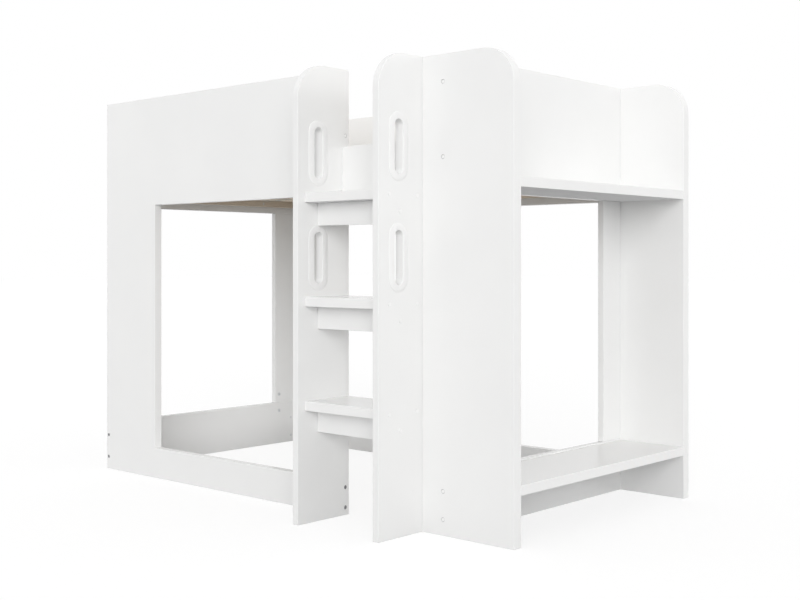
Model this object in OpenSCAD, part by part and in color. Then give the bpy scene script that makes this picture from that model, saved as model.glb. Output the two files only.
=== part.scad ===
// Raised child's bed in white board: a closed front panel with a wide opening,
// a built-in ladder with three treads, and an open two-shelf unit across the right-hand end.
// The floor is Z = 0, the ladder side faces -Y and the shelf unit is at the +X end.
// The origin is under the middle of the whole footprint.

/* [Mattress well] */
// Clear length of the well between the two end guards
well_l = 1614; // [1500:2:2040]
// Clear width of the well between the front and back panels
well_w = 871; // [800:1:1000]

/* [Heights] */
// Height of the guards, ladder sides and shelf sides above the floor
total_h = 1344; // [1290:1:1500]
// Height of the guards' lower edges above the floor
guard_z = 965; // [940:1:1000]
// Height of the front panel's bottom rail
front_rail_h = 105; // [100:1:160]
// Height of the back panel's bottom rail
back_rail_h = 102; // [100:1:160]
// Height of the bottom rails of the two end frames
end_rail_h = 171; // [165:1:220]

/* [Boards] */
// Thickness of the front panel, the back panel and the access rail
panel_t = 28; // [22:0.5:30]
// Thickness of the end boards, ladder sides and risers
board_t = 22; // [20:0.5:25]
// Thickness of the two sides of the shelf unit
side_t = 32; // [30:0.5:38]
// Thickness of the shelves and treads
shelf_t = 28; // [24:0.5:34]

/* [Panels and posts] */
// Width of the closed stretch at the left of the front and back panels
panel_post_w = 298; // [200:1:400]
// Width of the posts of the end frames
end_post_w = 102; // [95:1:140]
// Radius of the rounded upper corners
corner_r = 104; // [40:1:150]

/* [Ladder] */
// Clear width between the ladder sides
ladder_gap = 302; // [260:1:360]
// How far the ladder sides stand out in front of the front panel
ladder_out = 178; // [150:1:260]
// Distance from the ladder sides' front edges back to the treads' front edges
tread_set = 27; // [10:1:45]
// Rise from one tread to the next
tread_rise = 303.5; // [280:0.5:310]
// Number of treads
tread_count = 3; // [3:1:3]
// Distance from a tread's front edge back to the riser under it
riser_set = 50; // [45:1:60]
// Height of a riser
riser_h = 67; // [55:1:90]
// Height of the access rail above the top tread
access_h = 145; // [130:1:200]

/* [Hand-holds] */
// Length of a hand-hold slot inside its trim
hold_l = 151; // [120:1:180]
// Width of a hand-hold slot inside its trim
hold_w = 33; // [22:0.5:40]
// Distance from the ladder sides' front edges back to the slots' centre line
hold_set = 79; // [72:1:90]
// Height of the lower slots' centres above the floor
hold_z = 776; // [770:1:790]
// Distance from the lower to the upper slot
hold_pitch = 308; // [300:1:320]
// Width of the trim's flange round the slot
flange_w = 20.5; // [14:0.5:26]
// How far the flange stands proud of the board
flange_h = 3.2; // [2:0.1:5]
// Radius of the trim's lip, rolled from its flange into the slot
lip_r = 1.5; // [1:0.1:5]
// Wall of the trim's sleeve inside the board
sleeve_t = 3; // [2:0.1:4]

/* [Shelf unit] */
// Width of the shelf unit's two sides
side_w = 327; // [310:1:360]
// Depth of the shelves
shelf_d = 239; // [200:1:250]
// Height of the lower shelf's underside above the floor
lower_shelf_z = 139; // [120:1:143]

/* [Mattress base] */
// Height of the battens' undersides above the guards' lower edges
batten_lift = 25; // [10:1:40]
// Thickness of the battens, out from the boards that carry them
batten_t = 31; // [28:1:40]
// Height of the battens
batten_h = 24; // [20:1:45]
// Number of slats
slat_count = 13; // [9:1:16]
// Width of a slat
slat_w = 70; // [50:1:90]
// Thickness of a slat
slat_t = 18; // [15:0.5:22]
// Gap from the first and last slat to the end guards
slat_end = 12; // [5:1:30]
// Gap from a slat's ends to the shelf unit's sides
slat_side = 2; // [1:0.5:4]
// Width of the straps that hold the slats apart
strap_w = 25; // [20:1:40]
// Thickness of the straps
strap_t = 1.5; // [1:0.1:2]
// Distance from a slat's end to its strap's centre line
strap_in = 190; // [120:1:300]
// Gap from a strap's ends to the end battens
strap_end = 5; // [2:1:15]

/* [Connector bolts] */
// Diameter of the connector bolts' shanks
bolt_d = 6; // [5:0.5:7]
// Diameter of the connector bolts' heads
bolt_head_d = 12; // [10:0.5:14]
// Height of the connector bolts' heads
bolt_head_h = 3.6; // [3:0.1:5]
// Width across the corners of the hexagon socket
socket_w = 4.5; // [3:0.1:4.6]
// Depth of the hexagon socket
socket_deep = 2.2; // [1.5:0.1:2.6]
// Depth from a butted edge to the barrel nut's centre line
nut_in = 16; // [14:0.5:20]
// How far a bolt reaches past the barrel nut's centre line
bolt_past = 10; // [8:0.5:14]
// Diameter of the barrel nuts
nut_d = 10; // [9:0.5:12]
// Length of the barrel nuts
nut_l = 14; // [12:0.5:16]
// Depth of a barrel nut's end under the board's face
nut_sink = 0.6; // [0.2:0.1:1]
// Width of the slot in a barrel nut's end
nut_slot_w = 1.4; // [1:0.1:2]
// Depth of the slot in a barrel nut's end
nut_slot_deep = 1; // [0.6:0.1:1.4]

/* [Places of the bolts] */
// Height of the lowest bolts through the front panel
low_bolt = 44.5; // [25:0.5:50]
// Distance from the lowest bolts up to the next
bolt_step = 80; // [60:1:100]
// Height of the lowest bolts through the back panel
back_bolt = 27; // [20:1:36]
// Distance from the back rail's upper edge down to its upper bolts
back_bolt_down = 0; // [0:1:20]
// Height of the lowest bolt through the left ladder side
foot_bolt = 22.5; // [16:0.5:36]
// Distance from the front rail's upper edge down to its upper bolt
rail_bolt_down = 21.5; // [18:0.5:30]
// Height of the bolt behind the access rail's end above the guard's lower edge
hidden_bolt = 24; // [20:1:30]
// Distance from the top down to the left ladder side's upper bolt
side_bolt_down = 200; // [190:1:210]
// Height of the lowest bolt through the right ladder side
side_bolt_low = 180; // [120:1:200]
// Height above a tread of the bolts through the right ladder side
side_bolt_up = 140; // [100:1:180]
// Distance from the top down to the right ladder side's upper bolt
side_bolt_top = 124; // [110:1:140]
// Height of the lowest bolts through the shelf unit's sides
shelf_bolt_low = 45; // [30:1:60]
// Distance from the end rail's upper edge down to its upper bolts
shelf_bolt_down = 47; // [40:1:60]
// Height of the guard's lower bolts above its lower edge
guard_bolt = 92; // [80:1:110]
// Distance from the top down to the guard's upper bolts
high_bolt = 77; // [60:1:100]

/* [Cam fittings] */
// Distance from a joint to the cam lock's centre
cam_in = 34; // [28:0.5:40]
// Diameter of the cam locks
cam_d = 15; // [12:0.5:18]
// Distance that a cam lock reaches past the bolt's centre line
cam_past = 2.5; // [2:0.1:4]
// Depth of a cam lock's face under the board's face
cam_sink = 0.3; // [0.1:0.1:0.6]
// Length of the cross in a cam lock's face
cross_l = 9; // [7:0.5:10]
// Width of the cross in a cam lock's face
cross_w = 1.6; // [1:0.1:2]
// Depth of the cross in a cam lock's face
cross_deep = 2; // [1:0.1:2.5]
// Diameter of the cam bolts
cam_bolt_d = 6; // [5:0.5:7]
// Diameter of the neck behind a cam bolt's head
neck_d = 3.6; // [3:0.1:4.5]
// Length of the neck behind a cam bolt's head
neck_l = 2.4; // [2:0.1:3]
// Length of a cam bolt's head
knob_l = 3; // [2:0.1:3.4]
// Length of the cam studs' thread in the carrying board
stud_in = 11; // [9:0.5:13]
// Diameter of the wooden dowels
dowel_d = 8; // [6:0.5:10]
// Length of the wooden dowels
dowel_l = 36; // [30:1:40]
// Depth of a dowel in the face of a board
dowel_face = 12; // [8:0.5:14]
// Bevel round a dowel's ends
dowel_bevel = 1; // [0.5:0.1:1.5]

/* [Places of the cam fittings] */
// Distance from an end post's inner edge back to its cam bolts
post_cam = 21; // [15:1:30]
// Distance from an end post's inner edge back to its dowels
post_dowel = 71; // [55:1:80]
// Distance from the shelves' long edges in to their cam studs
shelf_cam = 56; // [40:1:70]
// Height above the battens of the access rail's lower cam studs
rail_stud = 14; // [12:1:18]
// Distance from the access rail's upper edge down to its upper cam studs
rail_stud_down = 36; // [25:1:38]
// Height above the battens of the left guard's lower cam studs
guard_stud = 54; // [45:1:70]
// Distance from the top down to the left guard's upper cam studs
guard_stud_down = 79; // [60:1:100]
// Distance from a back panel's cam stud to the dowel beside it
back_dowel = 29; // [22:1:34]

/* [Screws] */
// Length of the screws through the ladder sides
tread_screw_l = 50; // [45:1:70]
// Shank diameter of the screws through the ladder sides
tread_screw_d = 5; // [4:0.5:6]
// Head diameter of the screws through the ladder sides
tread_head_d = 10; // [9:0.5:12]
// Distance from a tread's front edge back to its first screw
tread_screw_front = 17; // [12:1:24]
// Distance from the front panel's inner face out to a tread's second screw
tread_screw_rear = 49; // [30:1:60]
// Depth of a screw's head under the face that it is driven into
head_sink = 1.2; // [1:0.1:2]
// Height of a screw head's straight rim
head_rim = 0.8; // [0.4:0.1:1.2]
// Diameter of the caps over the screws in the ladder sides
cap_d = 12; // [11:0.5:15]
// Thickness of the caps
cap_t = 1; // [0.8:0.1:1.2]
// How far the caps stand proud
cap_proud = 0.4; // [0.2:0.1:0.6]
// Shank diameter of the screws in the battens and slats
wood_screw_d = 4; // [3:0.5:5]
// Head diameter of the screws in the battens and slats
wood_head_d = 8; // [7:0.5:9]
// Depth that a wood screw goes into what carries it
wood_bite = 14; // [10:1:18]
// Distance from the ends of a batten's stretch to where its screws start
screw_margin = 40; // [30:1:60]
// Distance from the middle of a batten in to the slats' screws
slat_screw_in = 4; // [2:1:8]

/* [Fits] */
// Radial clearance of a fitting in its bore
fit = 0.15; // [0.1:0.05:0.3]
// Clearance round the trim's sleeve in its slot
trim_fit = 0.4; // [0.2:0.1:0.8]

/* [Hidden] */

$fn = 48;
eps = 0.01;
white_board = [0.94, 0.94, 0.935];
white_edge = [0.96, 0.96, 0.955];
white_plastic = [0.95, 0.95, 0.95];
pine = [0.80, 0.68, 0.50];
beech = [0.76, 0.58, 0.38];
webbing = [0.86, 0.85, 0.80];
zinc = [0.62, 0.63, 0.65];

// Outside of the whole bed
total_l = board_t + well_l + board_t + shelf_d;
total_w = panel_t + well_w + panel_t;
total_d = ladder_out + total_w;
x_left = -total_l / 2;
x_right = total_l / 2;
y_back = total_d / 2;
y_front = y_back - total_w;
y_ladder = y_front - ladder_out;

// Inner faces of the well and of the two end frames
x_in_left = x_left + board_t;
x_end = x_right - shelf_d;
x_in_right = x_end - board_t;
y_in_front = y_front + panel_t;
y_in_back = y_back - panel_t;
y_side_front = y_front + side_t;
y_side_back = y_back - side_t;

// Ladder: faces of the two sides, from left to right
x_side_r = x_right - side_w;
x_gap_r = x_side_r - board_t;
x_gap_l = x_gap_r - ladder_gap;
x_side_l = x_gap_l - board_t;
y_tread = y_ladder + tread_set;
y_riser = y_tread + riser_set;
y_hold = y_ladder + hold_set;
x_open = x_left + panel_post_w;

// Mattress base
z_batten = guard_z + batten_lift;
z_slat = z_batten + batten_h;
z_slat_top = z_slat + slat_t;
batten_mid = z_batten + batten_h / 2;
slat_pitch = (well_l - 2 * slat_end - slat_w) / (slat_count - 1);
y_slat_0 = y_side_front + slat_side;
y_slat_1 = y_side_back - slat_side;

// Centre lines of the boards that fittings are bored into
x_mid_left = x_left + board_t / 2;
x_mid_right = x_end - board_t / 2;
y_mid_front = y_front + panel_t / 2;
y_mid_back = y_back - panel_t / 2;
y_mid_side = y_front + side_t / 2;

function tread_top(i) = guard_z - (tread_count - 1 - i) * tread_rise;
function tread_mid(i) = tread_top(i) - shelf_t / 2;
function riser_mid(i) = tread_top(i) - shelf_t - riser_h / 2;
function slat_x(i) = x_in_left + slat_end + i * slat_pitch;

// Turn that lays the Z axis along one of the six main directions
function aim(d) =
    d[0] > 0 ? [0, 90, 0] :
    d[0] < 0 ? [0, -90, 0] :
    d[1] > 0 ? [-90, 0, 0] :
    d[1] < 0 ? [90, 0, 0] :
    d[2] < 0 ? [180, 0, 0] : [0, 0, 0];

module at(p, d) { translate(p) rotate(aim(d)) children(); }

// The six main directions
right = [1, 0, 0];
left = [-1, 0, 0];
back = [0, 1, 0];
front = [0, -1, 0];
up = [0, 0, 1];
down = [0, 0, -1];

// ---- Connector bolts and barrel nuts: [outer face point, way in, board thickness, way to nut's face, half board]
bolts_left_front = [for (z = [low_bolt, low_bolt + bolt_step])
    [[x_mid_left, y_front, z], back, panel_t, right, board_t / 2]];
bolts_left_back = [for (z = [back_bolt, back_rail_h - back_bolt_down])
    [[x_mid_left, y_back, z], front, panel_t, right, board_t / 2]];
left_side_heights = [foot_bolt, front_rail_h - rail_bolt_down, guard_z + hidden_bolt, total_h - side_bolt_down];
bolts_ladder_left = [for (z = left_side_heights) [[x_gap_l, y_mid_front, z], left, board_t, back, panel_t / 2]];
right_side_heights = [side_bolt_low, tread_top(0) + side_bolt_up, tread_top(1) + side_bolt_up,
    total_h - side_bolt_top];
bolts_ladder_right = [for (z = right_side_heights) [[x_gap_r, y_mid_side, z], right, board_t, back, side_t / 2]];
right_end_heights = [shelf_bolt_low, end_rail_h - shelf_bolt_down, guard_z + guard_bolt, total_h - high_bolt];
bolts_shelf_front = [for (z = right_end_heights)
    [[x_mid_right, y_front, z], back, side_t, left, board_t / 2]];
bolts_shelf_rear = [for (z = right_end_heights)
    [[x_mid_right, y_back, z], front, side_t, left, board_t / 2]];
all_bolts = concat(bolts_left_front, bolts_left_back, bolts_ladder_left,
    bolts_ladder_right, bolts_shelf_front, bolts_shelf_rear);

// Sunk flat-head bolt with a hexagon socket; its tip runs out past the barrel nut
module bolt(b) {
    reach = b[2] + nut_in + bolt_past;
    at(b[0], b[1]) difference() {
        union() {
            translate([0, 0, head_sink]) cylinder(h = bolt_head_h, d = bolt_head_d);
            translate([0, 0, head_sink]) cylinder(h = reach - head_sink, d = bolt_d);
        }
        translate([0, 0, head_sink - eps]) cylinder(h = socket_deep + eps, d = socket_w, $fn = 6);
    }
}

function nut_centre(b) = b[0] + b[1] * (b[2] + nut_in);

// Cross-drilled round nut with a screwdriver slot in the end that shows
module barrel_nut(b) {
    difference() {
        at(nut_centre(b) + b[3] * (b[4] - nut_l - nut_sink), b[3]) difference() {
            cylinder(h = nut_l, d = nut_d);
            translate([-nut_d / 2, -nut_slot_w / 2, nut_l - nut_slot_deep])
                cube([nut_d, nut_slot_w, nut_slot_deep + eps]);
        }
        at(nut_centre(b) - b[1] * nut_d, b[1]) cylinder(h = 2 * nut_d, d = bolt_d + 2 * fit);
    }
}

module bolt_bores(list) {
    for (b = list) {
        at(b[0] - b[1] * eps, b[1]) cylinder(h = head_sink + bolt_head_h + fit + eps, d = bolt_head_d + 2 * fit);
        at(b[0], b[1]) cylinder(h = b[2] + nut_in + bolt_past + fit, d = bolt_d + 2 * fit);
        at(nut_centre(b) + b[3] * (b[4] - nut_l - nut_sink - fit), b[3])
            cylinder(h = nut_l + nut_sink + fit + eps, d = nut_d + 2 * fit);
    }
}

// ---- Double cam joints: [point on the seam, way along the bolt, way to the cams' face, half board]
function end_cams(x, y0, y1, z, face) = [for (y = [y0 + end_post_w - post_cam, y1 - end_post_w + post_cam])
    [[x, y, z], up, face, board_t / 2]];
cams_left = end_cams(x_mid_left, y_in_front, y_in_back, end_rail_h, right);
cams_right = end_cams(x_mid_right, y_side_front, y_side_back, end_rail_h, left);
double_cams = concat(cams_left, cams_right);

// ---- Single cam joints: [point on the butted face, way into the cam's board, way to the cam's face, half board]
studs_left = end_cams(x_mid_left, y_in_front, y_in_back, guard_z, right);
studs_right = end_cams(x_mid_right, y_side_front, y_side_back, guard_z, left);
rail_heights = [z_slat + rail_stud, guard_z + access_h - rail_stud_down];
studs_rail = [for (z = rail_heights) for (s = [0, 1])
    s == 0 ? [[x_gap_l, y_mid_front, z], right, back, panel_t / 2]
           : [[x_gap_r, y_mid_front, z], left, back, panel_t / 2]];
function shelf_studs(z) = [for (x = [x_end + shelf_cam, x_right - shelf_cam]) for (s = [0, 1])
    s == 0 ? [[x, y_side_front, z + shelf_t / 2], back, down, shelf_t / 2]
           : [[x, y_side_back, z + shelf_t / 2], front, down, shelf_t / 2]];
studs_lower = shelf_studs(lower_shelf_z);
studs_upper = shelf_studs(guard_z);
studs_guard = [for (z = [z_slat + guard_stud, total_h - guard_stud_down]) for (s = [0, 1])
    s == 0 ? [[x_mid_left, y_in_front, z], back, right, board_t / 2]
           : [[x_mid_left, y_in_back, z], front, right, board_t / 2]];
back_heights = [back_rail_h / 2, guard_z + guard_bolt, total_h - high_bolt - back_dowel];
studs_back = [for (z = back_heights) [[x_side_r, y_mid_back, z], left, front, panel_t / 2]];
single_cams = concat(studs_left, studs_right, studs_rail, studs_lower, studs_upper, studs_guard, studs_back);

// Round cam housing: cross recess in its face and a radial mouth for the bolt's head
module cam_lock(p, way, face, half) {
    depth = half + cam_past;
    difference() {
        at(p + face * (half - depth), face) difference() {
            cylinder(h = depth - cam_sink, d = cam_d);
            for (a = [45, 135]) rotate([0, 0, a])
                translate([-cross_l / 2, -cross_w / 2, depth - cam_sink - cross_deep])
                    cube([cross_l, cross_w, cross_deep + eps]);
        }
        at(p - way * cam_bolt_d / 2, way) cylinder(h = cam_d, d = cam_bolt_d + 2 * fit);
    }
}

module cam_bore(p, face, half) {
    depth = half + cam_past + fit;
    at(p + face * (half - depth), face) cylinder(h = depth + eps, d = cam_d + 2 * fit);
}

// One end of a cam bolt: round body, thin neck and head
module cam_tip(length) {
    body = length - neck_l - knob_l;
    cylinder(h = body, d = cam_bolt_d);
    translate([0, 0, body]) cylinder(h = neck_l, d = neck_d);
    translate([0, 0, body + neck_l]) cylinder(h = knob_l, d = cam_bolt_d);
}

module double_bores(list) {
    for (c = list) {
        for (s = [-1, 1]) cam_bore(c[0] + c[1] * s * cam_in, c[2], c[3]);
        at(c[0] - c[1] * cam_in, c[1]) cylinder(h = 2 * cam_in, d = cam_bolt_d + 2 * fit);
    }
}

module stud_bores(list) {
    for (c = list) {
        cam_bore(c[0] + c[1] * cam_in, c[2], c[3]);
        at(c[0] - c[1] * (stud_in + fit), c[1]) cylinder(h = stud_in + fit + cam_in, d = cam_bolt_d + 2 * fit);
    }
}

// ---- Dowels: [middle of the dowel, way along it]
function end_dowels(x, y0, y1) = [for (y = [y0 + end_post_w - post_dowel, y1 - end_post_w + post_dowel])
    for (z = [end_rail_h, guard_z]) [[x, y, z], up]];
dowels_left = end_dowels(x_mid_left, y_in_front, y_in_back);
dowels_right = end_dowels(x_mid_right, y_side_front, y_side_back);
dowels_back = [for (z = back_heights) [[x_side_r, y_mid_back, z + back_dowel], right]];
face_shift = dowel_l / 2 - dowel_face;
dowels_lower = [for (s = [0, 1])
    s == 0 ? [[(x_end + x_right) / 2, y_side_front + face_shift, lower_shelf_z + shelf_t / 2], back]
           : [[(x_end + x_right) / 2, y_side_back - face_shift, lower_shelf_z + shelf_t / 2], front]];
dowels_upper = [for (s = [0, 1])
    s == 0 ? [[(x_end + x_right) / 2, y_side_front + face_shift, guard_z + shelf_t / 2], back]
           : [[(x_end + x_right) / 2, y_side_back - face_shift, guard_z + shelf_t / 2], front]];
dowels_rail = [for (s = [0, 1])
    s == 0 ? [[x_gap_l + face_shift, y_mid_front, (rail_heights[0] + rail_heights[1]) / 2], right]
           : [[x_gap_r - face_shift, y_mid_front, (rail_heights[0] + rail_heights[1]) / 2], left]];
all_dowels = concat(dowels_left, dowels_right, dowels_back, dowels_lower, dowels_upper, dowels_rail);

// Turned beech pin with bevelled ends
module dowel(w) {
    r = dowel_d / 2;
    at(w[0], w[1]) rotate_extrude()
        polygon([[0, -dowel_l / 2], [r - dowel_bevel, -dowel_l / 2], [r, dowel_bevel - dowel_l / 2],
            [r, dowel_l / 2 - dowel_bevel], [r - dowel_bevel, dowel_l / 2], [0, dowel_l / 2]]);
}

module dowel_bores(list) {
    for (w = list)
        at(w[0] - w[1] * (dowel_l / 2 + fit), w[1]) cylinder(h = dowel_l + 2 * fit, d = dowel_d + 2 * fit);
}

// ---- Screws through the ladder sides into the treads and risers: [outer face point, way in]
function tread_holes(i, x, way) = [
    [[x, y_tread + tread_screw_front, tread_mid(i)], way],
    [[x, y_in_front - tread_screw_rear, tread_mid(i)], way],
    [[x, y_riser + board_t / 2, riser_mid(i)], way]];
screws_left = [for (i = [0 : tread_count - 1]) each tread_holes(i, x_side_l, right)];
screws_right = [for (i = [0 : tread_count - 1]) each tread_holes(i, x_side_r, left)];

// Pointed screw with a sunk conical head
module screw(p, way, length, d, head) {
    at(p, way) rotate_extrude()
        polygon([[0, head_sink], [head / 2, head_sink], [head / 2, head_sink + head_rim],
            [d / 2, head_sink + head_rim + (head - d) / 2], [d / 2, length - d], [0, length]]);
}

module screw_bore(p, way, length, d, head) {
    at(p - way * eps, way) union() {
        cylinder(h = head_sink + head_rim + fit + eps, d = head + 2 * fit);
        translate([0, 0, head_sink + head_rim + fit])
            cylinder(h = (head - d) / 2, d1 = head + 2 * fit, d2 = d + 2 * fit);
        cylinder(h = length + fit, d = d + 2 * fit);
    }
}

module tread_bores(list) {
    for (s = list) {
        screw_bore(s[0], s[1], tread_screw_l, tread_screw_d, tread_head_d);
        at(s[0] - s[1] * eps, s[1]) cylinder(h = cap_t - cap_proud + eps, d = cap_d + 2 * fit);
    }
}

// ---- Wood screws through the battens and the end slats
function spread(a, b, n) = [for (i = [0 : n - 1]) a + (b - a) * (i + 0.5) / n];
front_batten_x = concat(spread(x_in_left + screw_margin, x_side_l - screw_margin, 4), [(x_gap_l + x_gap_r) / 2]);
rear_batten_x = spread(x_in_left + screw_margin, x_side_r - screw_margin, 5);
end_batten_y = spread(y_in_front + batten_t + screw_margin, y_in_back - batten_t - screw_margin, 3);
batten_screw_l = batten_t + wood_bite;

module front_batten_screws(bore = false) {
    for (x = front_batten_x)
        if (bore) screw_bore([x, y_in_front + batten_t, batten_mid], front, batten_screw_l, wood_screw_d, wood_head_d);
        else screw([x, y_in_front + batten_t, batten_mid], front, batten_screw_l, wood_screw_d, wood_head_d);
}

module rear_batten_screws(bore = false) {
    for (x = rear_batten_x)
        if (bore) screw_bore([x, y_in_back - batten_t, batten_mid], back, batten_screw_l, wood_screw_d, wood_head_d);
        else screw([x, y_in_back - batten_t, batten_mid], back, batten_screw_l, wood_screw_d, wood_head_d);
}

module left_batten_screws(bore = false) {
    for (y = end_batten_y)
        if (bore) screw_bore([x_in_left + batten_t, y, batten_mid], left, batten_screw_l, wood_screw_d, wood_head_d);
        else screw([x_in_left + batten_t, y, batten_mid], left, batten_screw_l, wood_screw_d, wood_head_d);
}

module right_batten_screws(bore = false) {
    for (y = end_batten_y)
        if (bore) screw_bore([x_in_right - batten_t, y, batten_mid], right, batten_screw_l, wood_screw_d, wood_head_d);
        else screw([x_in_right - batten_t, y, batten_mid], right, batten_screw_l, wood_screw_d, wood_head_d);
}

slat_screw_l = slat_t + wood_bite;
slat_screw_y = [y_in_front + batten_t / 2 + slat_screw_in, y_in_back - batten_t / 2 - slat_screw_in];
module end_slat_screws(bore = false) {
    for (i = [0, slat_count - 1]) for (y = slat_screw_y)
        if (bore) screw_bore([slat_x(i) + slat_w / 2, y, z_slat_top], down, slat_screw_l, wood_screw_d, wood_head_d);
        else screw([slat_x(i) + slat_w / 2, y, z_slat_top], down, slat_screw_l, wood_screw_d, wood_head_d);
}

// ---- Outlines
// Upright board w wide and h high, with its upper corner on the +X side rounded
module rounded_upright(w, h, r) {
    difference() {
        square([w, h]);
        translate([w - r, h - r]) difference() {
            square(r + 1);
            circle(r = r, $fn = 96);
        }
    }
}

// Long round-ended slot, centred, running along Y
module slot(l, w) {
    square([w, l - w], center = true);
    for (s = [-1, 1]) translate([0, s * (l - w) / 2]) circle(d = w, $fn = 64);
}

// ---- Boards
// Front or back panel: guard, post and bottom rail cut from one board, open towards the ladder or shelf unit
module long_panel(y, x1, rail_h) {
    difference() {
        translate([x_left, y, 0]) cube([x1 - x_left, panel_t, total_h]);
        translate([x_open, y - 1, rail_h]) cube([x1 - x_open + 1, panel_t + 2, guard_z - rail_h]);
    }
}

module front_panel() {
    color(white_board) difference() {
        long_panel(y_front, x_side_l, front_rail_h);
        bolt_bores(bolts_left_front);
        bolt_bores(bolts_ladder_left);
        stud_bores(studs_guard);
        front_batten_screws(bore = true);
    }
}

module back_panel() {
    color(white_board) difference() {
        long_panel(y_in_back, x_side_r, back_rail_h);
        bolt_bores(bolts_left_back);
        stud_bores(studs_guard);
        stud_bores(studs_back);
        dowel_bores(dowels_back);
        rear_batten_screws(bore = true);
    }
}

module access_rail() {
    color(white_board) difference() {
        translate([x_gap_l, y_front, guard_z]) cube([ladder_gap, panel_t, access_h]);
        stud_bores(studs_rail);
        dowel_bores(dowels_rail);
        front_batten_screws(bore = true);
    }
}

// Full-height ladder side, drawn in the YZ plane with its front upper corner rounded
module ladder_side(x) {
    depth = y_in_front - y_ladder;
    difference() {
        translate([x, y_in_front, 0]) rotate([90, 0, 90]) linear_extrude(board_t)
            mirror([1, 0, 0]) rounded_upright(depth, total_h, corner_r);
        for (z = [hold_z, hold_z + hold_pitch]) translate([x - 1, y_hold, z])
            rotate([90, 0, 90]) linear_extrude(board_t + 2)
                slot(hold_l + 2 * (sleeve_t + trim_fit), hold_w + 2 * (sleeve_t + trim_fit));
    }
}

module ladder_side_left() {
    color(white_board) difference() {
        ladder_side(x_side_l);
        bolt_bores(bolts_ladder_left);
        tread_bores(screws_left);
        stud_bores(studs_rail);
        dowel_bores(dowels_rail);
    }
}

module ladder_side_right() {
    color(white_board) difference() {
        ladder_side(x_gap_r);
        bolt_bores(bolts_ladder_right);
        tread_bores(screws_right);
        stud_bores(studs_rail);
        dowel_bores(dowels_rail);
    }
}

module tread(i) {
    color(white_edge) difference() {
        translate([x_gap_l, y_tread, tread_top(i) - shelf_t]) cube([ladder_gap, y_in_front - y_tread, shelf_t]);
        tread_bores([each tread_holes(i, x_side_l, right), each tread_holes(i, x_side_r, left)]);
    }
}

module riser(i) {
    color(white_board) difference() {
        translate([x_gap_l, y_riser, tread_top(i) - shelf_t - riser_h]) cube([ladder_gap, board_t, riser_h]);
        tread_bores([each tread_holes(i, x_side_l, right), each tread_holes(i, x_side_r, left)]);
    }
}

module tread_lower() { tread(0); }
module tread_middle() { tread(1); }
module tread_upper() { tread(2); }
module riser_lower() { riser(0); }
module riser_middle() { riser(1); }
module riser_upper() { riser(2); }

// Side of the shelf unit, drawn in the XZ plane with its outer upper corner rounded
module shelf_side(y) {
    translate([x_side_r, y + side_t, 0]) rotate([90, 0, 0]) linear_extrude(side_t)
        rounded_upright(side_w, total_h, corner_r);
}

module shelf_side_front() {
    color(white_board) difference() {
        shelf_side(y_front);
        bolt_bores(bolts_shelf_front);
        bolt_bores(bolts_ladder_right);
        stud_bores(studs_lower);
        stud_bores(studs_upper);
        dowel_bores(dowels_lower);
        dowel_bores(dowels_upper);
    }
}

module shelf_side_rear() {
    color(white_board) difference() {
        shelf_side(y_side_back);
        bolt_bores(bolts_shelf_rear);
        stud_bores(studs_back);
        dowel_bores(dowels_back);
        stud_bores(studs_lower);
        stud_bores(studs_upper);
        dowel_bores(dowels_lower);
        dowel_bores(dowels_upper);
    }
}

module shelf(z) {
    translate([x_end, y_side_front, z]) cube([shelf_d, y_side_back - y_side_front, shelf_t]);
}

module shelf_lower() {
    color(white_edge) difference() {
        shelf(lower_shelf_z);
        stud_bores(studs_lower);
        dowel_bores(dowels_lower);
    }
}

module shelf_upper() {
    color(white_edge) difference() {
        shelf(guard_z);
        stud_bores(studs_upper);
        dowel_bores(dowels_upper);
    }
}

// One board of an end frame, from y0 to y1 and from z0 to z1
module end_board(x, y0, y1, z0, z1) {
    translate([x, y0, z0]) cube([board_t, y1 - y0, z1 - z0]);
}

module left_end_guard() {
    color(white_board) difference() {
        end_board(x_left, y_in_front, y_in_back, guard_z, total_h);
        stud_bores(studs_left);
        dowel_bores(dowels_left);
        stud_bores(studs_guard);
        left_batten_screws(bore = true);
    }
}

module left_end_rail() {
    color(white_board) difference() {
        end_board(x_left, y_in_front, y_in_back, 0, end_rail_h);
        double_bores(cams_left);
        dowel_bores(dowels_left);
        bolt_bores(bolts_left_front);
        bolt_bores(bolts_left_back);
    }
}

module left_end_post(y) {
    color(white_board) difference() {
        end_board(x_left, y, y + end_post_w, end_rail_h, guard_z);
        double_bores(cams_left);
        stud_bores(studs_left);
        dowel_bores(dowels_left);
    }
}

module left_end_post_front() { left_end_post(y_in_front); }
module left_end_post_rear() { left_end_post(y_in_back - end_post_w); }

module right_end_guard() {
    color(white_board) difference() {
        end_board(x_in_right, y_side_front, y_side_back, guard_z, total_h);
        stud_bores(studs_right);
        dowel_bores(dowels_right);
        bolt_bores(bolts_shelf_front);
        bolt_bores(bolts_shelf_rear);
        right_batten_screws(bore = true);
    }
}

module right_end_rail() {
    color(white_board) difference() {
        end_board(x_in_right, y_side_front, y_side_back, 0, end_rail_h);
        double_bores(cams_right);
        dowel_bores(dowels_right);
        bolt_bores(bolts_shelf_front);
        bolt_bores(bolts_shelf_rear);
    }
}

module right_end_post(y) {
    color(white_board) difference() {
        end_board(x_in_right, y, y + end_post_w, end_rail_h, guard_z);
        double_bores(cams_right);
        stud_bores(studs_right);
        dowel_bores(dowels_right);
    }
}

module right_end_post_front() { right_end_post(y_side_front); }
module right_end_post_rear() { right_end_post(y_side_back - end_post_w); }

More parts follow.
